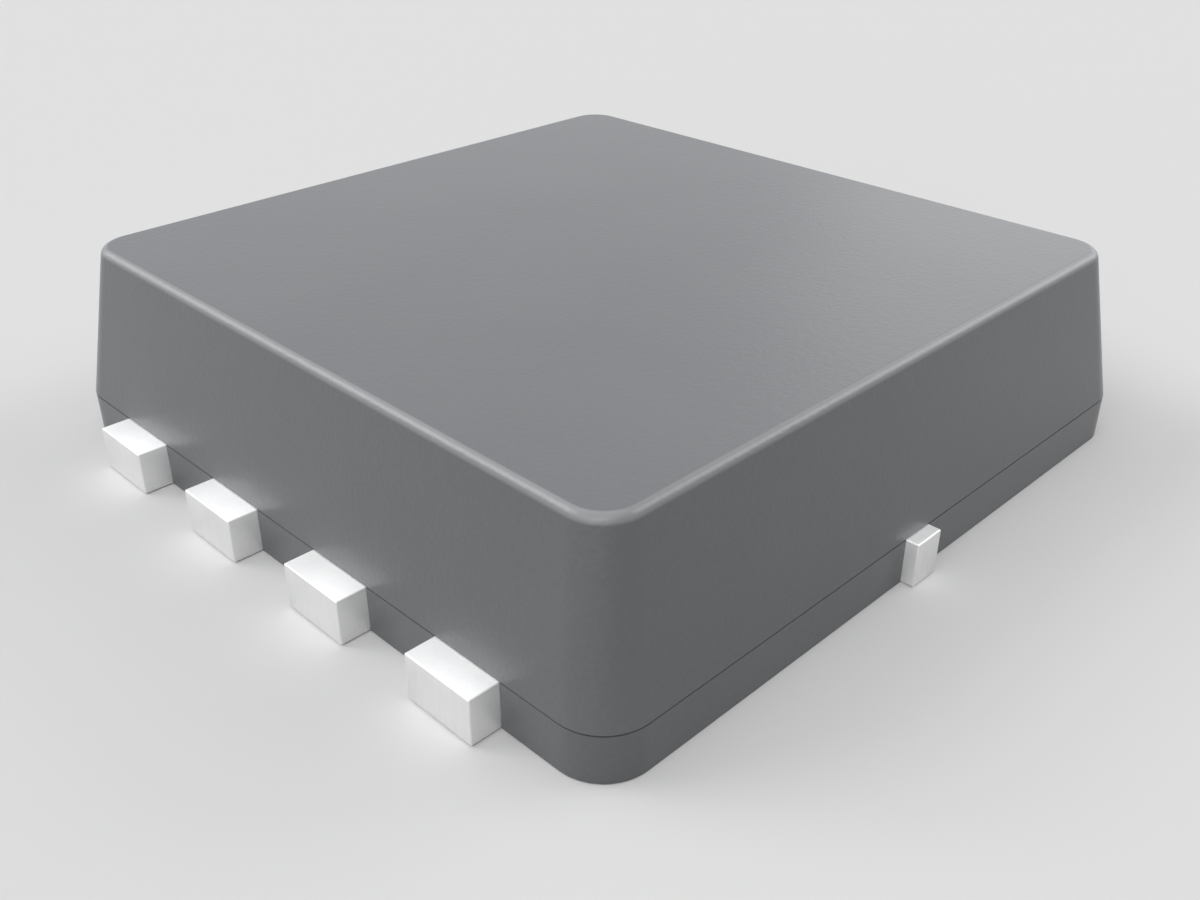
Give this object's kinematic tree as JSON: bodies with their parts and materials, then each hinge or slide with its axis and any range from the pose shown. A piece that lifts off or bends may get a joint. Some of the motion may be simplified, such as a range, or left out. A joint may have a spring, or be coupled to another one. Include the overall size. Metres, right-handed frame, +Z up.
{
  "type": "power semiconductor package",
  "caption": "Flat leadless power transistor package: drafted epoxy body over a copper leadframe, with solder lands flush underneath.",
  "frame": {"origin": "middle of the footprint, on the plane that the lands are soldered to", "axes": "+Z up out of the circuit board; -X towards the source and gate leads, +X towards the drain leads; +Y towards the end with the first source lead"},
  "size_m": [0.0032, 0.0032, 0.0008],
  "materials": {
    "mould_epoxy": "fine matte, spark-eroded mould texture",
    "tin_plate": "matte tin plating over copper",
    "bare_copper": "bare rolled copper",
    "wire_copper": "smooth drawn copper",
    "silicon": "sawn and polished silicon",
    "solder": "dull reflowed solder"
  },
  "bodies": {
    "root": {"mould_body": "mould_epoxy", "drain_leadframe": "tin_plate", "source_lead": "tin_plate", "gate_lead": "tin_plate", "source_clip": "bare_copper", "gate_wire": "wire_copper", "silicon_die": "silicon", "die_attach_solder": "solder", "clip_die_solder": "solder", "clip_lead_solder": "solder"}
  },
  "joints": []
}
